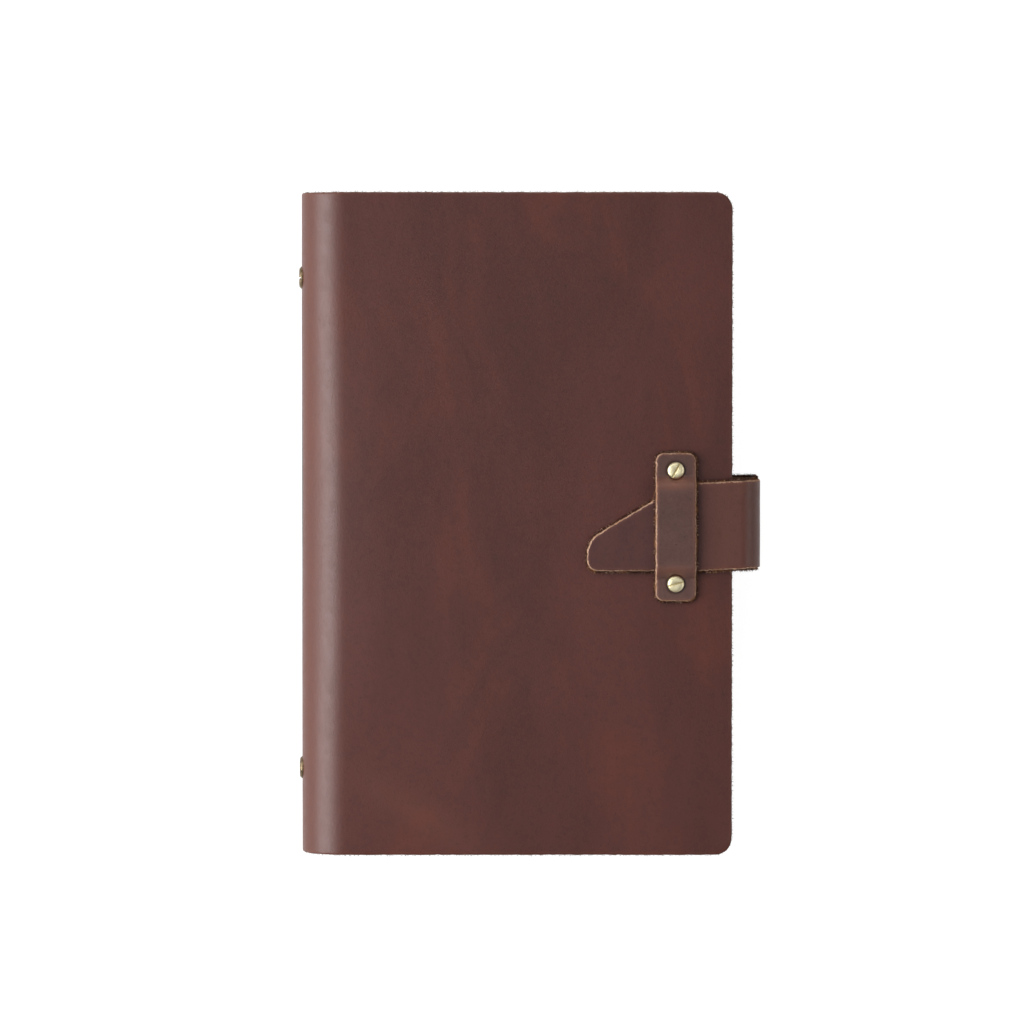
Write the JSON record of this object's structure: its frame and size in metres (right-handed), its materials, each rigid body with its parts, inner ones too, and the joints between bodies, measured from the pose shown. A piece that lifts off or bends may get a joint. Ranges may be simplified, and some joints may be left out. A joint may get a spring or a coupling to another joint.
{
  "type": "leather ring notebook cover",
  "caption": "Closed leather notebook cover with a round spine, ring mechanism, loose leaves, wrap-round strap, keeper loop and brass post screws.",
  "frame": {"origin": "middle of the underside of the bounding box, on the outer face of the back panel as the closed notebook lies", "axes": "+X towards the fore-edge and the strap, +Y towards the head of the leaves, +Z out of the front panel"},
  "size_m": [0.134, 0.192, 0.0302],
  "materials": {
    "cover_leather": "oiled pull-up leather, semi-matt",
    "strap_leather": "oiled pull-up leather with raw cut edges",
    "keeper_leather": "oiled pull-up leather, stretched paler over the strap",
    "antique_brass": "turned and brushed",
    "dark_brass": "dark antique",
    "ring_steel": "bright nickel plate",
    "paper": "uncoated"
  },
  "bodies": {
    "back": {"back_panel": "cover_leather", "strap_root": "strap_leather", "strap_screw_upper": "antique_brass", "strap_screw_lower": "antique_brass", "strap_post_upper": "antique_brass", "strap_post_lower": "antique_brass"},
    "spine": {"spine_panel": "cover_leather", "spine_screw_head": "dark_brass", "spine_screw_tail": "dark_brass", "spine_post_head": "ring_steel", "spine_post_tail": "ring_steel", "ring_plate": "ring_steel"},
    "front": {"front_panel": "cover_leather", "keeper": "keeper_leather", "keeper_screw_upper": "antique_brass", "keeper_screw_lower": "antique_brass", "keeper_post_upper": "antique_brass", "keeper_post_lower": "antique_brass"},
    "strap_middle": {"strap_wrap": "strap_leather"},
    "strap_end": {"strap_tongue": "strap_leather"},
    "upper_half_rings": {"upper_blade": "ring_steel", "upper_ring_1": "ring_steel", "upper_ring_2": "ring_steel", "upper_ring_3": "ring_steel", "upper_ring_4": "ring_steel", "upper_ring_5": "ring_steel", "upper_ring_6": "ring_steel"},
    "lower_half_rings": {"lower_blade": "ring_steel", "lower_ring_1": "ring_steel", "lower_ring_2": "ring_steel", "lower_ring_3": "ring_steel", "lower_ring_4": "ring_steel", "lower_ring_5": "ring_steel", "lower_ring_6": "ring_steel"},
    "head_lever": {"lever_head": "ring_steel"},
    "tail_lever": {"lever_tail": "ring_steel"},
    "rear_stack": {"rear_leaves": "paper"},
    "front_stack": {"front_leaves": "paper"}
  },
  "joints": [
    {"name": "cover_open", "type": "hinge", "parent": "back", "child": "spine", "pos_m": [-0.06244, 0, 0.00381], "axis": [0, -1, 0], "range_deg": [0, 88.5]},
    {"name": "front_fold", "type": "hinge", "parent": "spine", "child": "front", "pos_m": [-0.06244, 0, 0.02219], "axis": [0, -1, 0], "range_deg": [0, 88.6]},
    {"name": "rear_leaf_slide", "type": "slide", "parent": "back", "child": "rear_stack", "axis": [-1, 0, 0], "range_m": [0, 0.0151]},
    {"name": "front_leaf_slide", "type": "slide", "parent": "front", "child": "front_stack", "axis": [-1, 0, 0], "range_m": [0, 0.0151]},
    {"name": "strap_lower_bend", "type": "hinge", "parent": "back", "child": "strap_middle", "pos_m": [0.06456, 0, 0.00439], "axis": [0, 1, 0], "range_deg": [0, 82.1], "deforming": ["strap_wrap"]},
    {"name": "strap_upper_bend", "type": "hinge", "parent": "strap_middle", "child": "strap_end", "pos_m": [0.06456, 0, 0.02571], "axis": [0, 1, 0], "range_deg": [0, 82.1], "deforming": ["strap_tongue"]},
    {"name": "ring_open", "type": "hinge", "parent": "spine", "child": "upper_half_rings", "pos_m": [-0.06185, 0, 0.0186], "axis": [0, -1, 0], "range_deg": [0, 12]},
    {"name": "lower_ring_open", "type": "hinge", "parent": "spine", "child": "lower_half_rings", "pos_m": [-0.06185, 0, 0.0074], "axis": [0, 1, 0], "range_deg": [0, 12.1]},
    {"name": "head_lever_push", "type": "hinge", "parent": "spine", "child": "head_lever", "pos_m": [-0.06205, 0.0777, 0.013], "axis": [0, 0, 1], "range_deg": [0, 16.1]},
    {"name": "tail_lever_push", "type": "hinge", "parent": "spine", "child": "tail_lever", "pos_m": [-0.06205, -0.0777, 0.013], "axis": [0, 0, -1], "range_deg": [0, 16.1]}
  ],
  "couplings": [
    {"joint": "front_fold", "follows": "cover_open", "ratio": 1},
    {"joint": "rear_leaf_slide", "follows": "cover_open", "m_per_rad": 0.009711},
    {"joint": "front_leaf_slide", "follows": "cover_open", "m_per_rad": 0.009711},
    {"joint": "strap_lower_bend", "follows": "cover_open", "ratio": 0.92655},
    {"joint": "strap_upper_bend", "follows": "cover_open", "ratio": 0.92655},
    {"joint": "lower_ring_open", "follows": "ring_open", "ratio": 1},
    {"joint": "head_lever_push", "follows": "ring_open", "ratio": 1.3333},
    {"joint": "tail_lever_push", "follows": "ring_open", "ratio": 1.3333}
  ]
}
